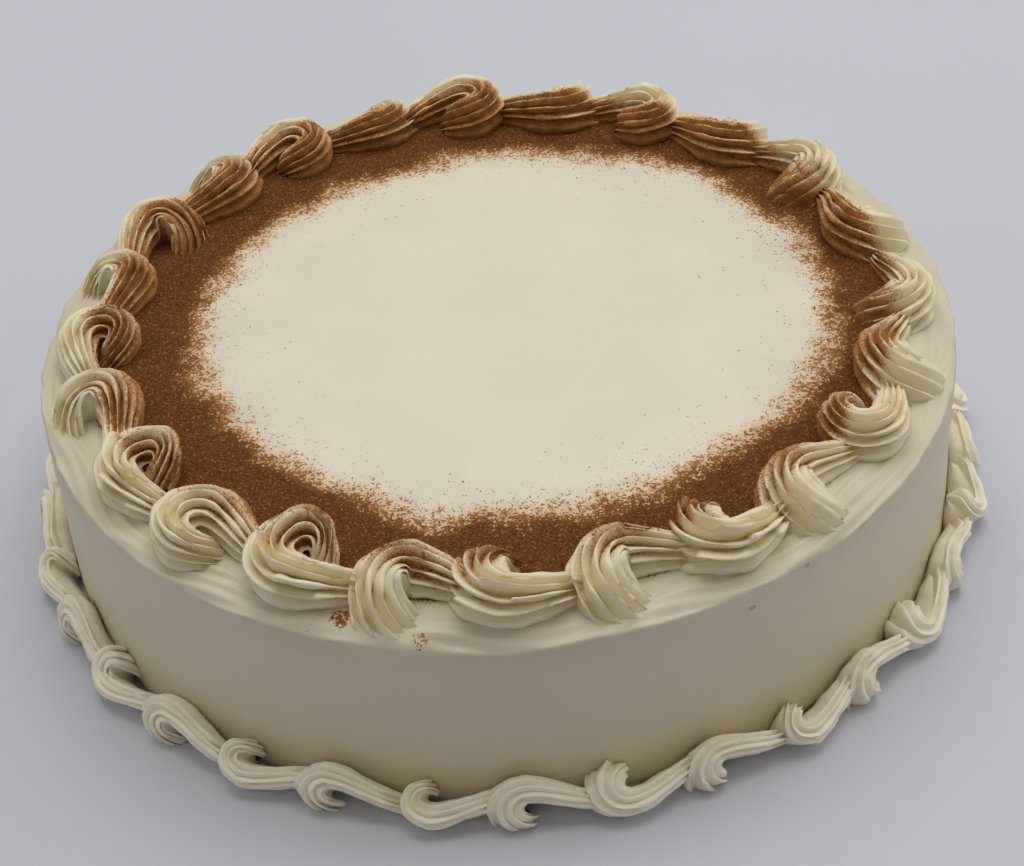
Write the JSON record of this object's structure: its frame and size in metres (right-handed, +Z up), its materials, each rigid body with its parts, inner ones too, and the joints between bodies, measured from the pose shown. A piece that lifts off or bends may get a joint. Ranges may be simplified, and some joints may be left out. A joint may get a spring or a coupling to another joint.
{
  "type": "iced pumpkin cake",
  "caption": "Round pumpkin cake, iced smooth, with a ring of piped reverse shells round the rim of its top and another at its foot, and a band of cinnamon inside the top ring",
  "frame": {"origin": "middle of the flat underside, on the surface the cake stands on", "axes": "+Z up, -Y towards the front of the picture, +X to its right; both borders run anticlockwise seen from above"},
  "size_m": [0.2549, 0.2549, 0.0635],
  "materials": {
    "smooth_icing": "smooth pale cream icing, matt with a soft sheen",
    "piped_icing": "piped pale cream icing with soft ridges",
    "cinnamon": "dry ground cinnamon, matt and grainy"
  },
  "bodies": {
    "root": {"cake": "smooth_icing", "top_border": "piped_icing", "foot_border": "piped_icing"}
  },
  "joints": []
}
